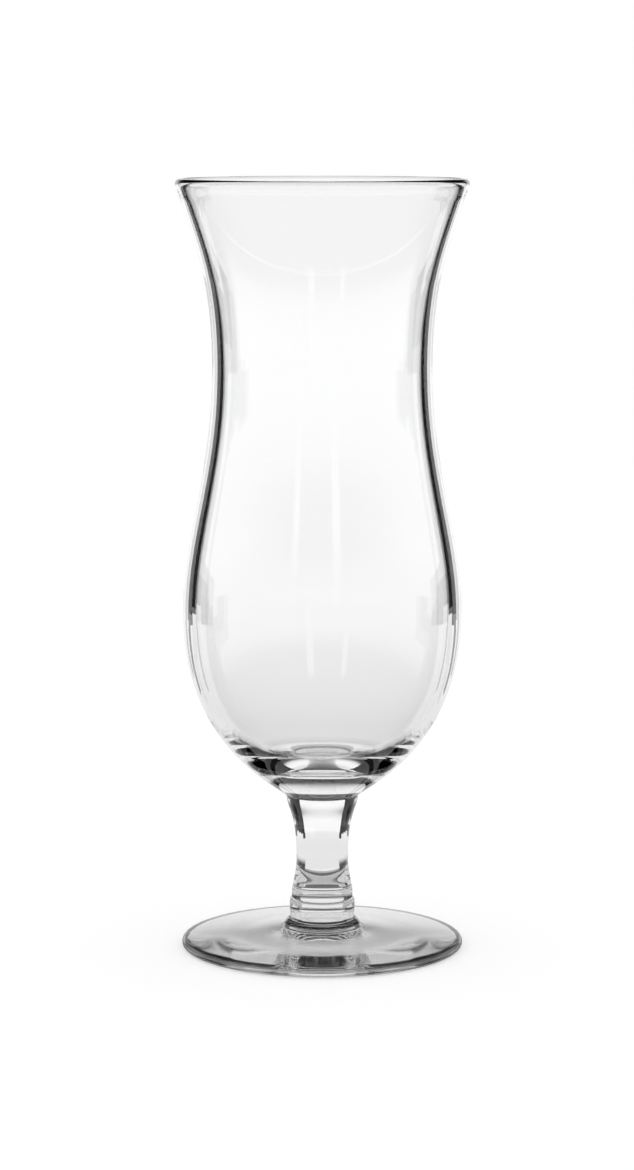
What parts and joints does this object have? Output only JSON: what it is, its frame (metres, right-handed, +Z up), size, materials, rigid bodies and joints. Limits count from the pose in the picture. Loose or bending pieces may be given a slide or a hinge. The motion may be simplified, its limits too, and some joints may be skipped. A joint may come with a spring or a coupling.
{
  "type": "hurricane glass",
  "caption": "Clear stemmed drinking glass with a tall hourglass bowl, a flared rim, a short solid stem on a ring and a round foot.",
  "frame": {"origin": "centre of the foot on the surface that the glass stands on", "axes": "+Z up along the glass's axis; X and Y are alike because the glass is round"},
  "size_m": [0.0792, 0.0792, 0.21],
  "materials": {
    "blown_glass": "clear, fire-polished",
    "pressed_glass": "clear, pressed and polished"
  },
  "bodies": {
    "root": {"foot": "pressed_glass", "stem_ring": "pressed_glass", "stem": "pressed_glass", "bowl": "blown_glass"}
  },
  "joints": []
}
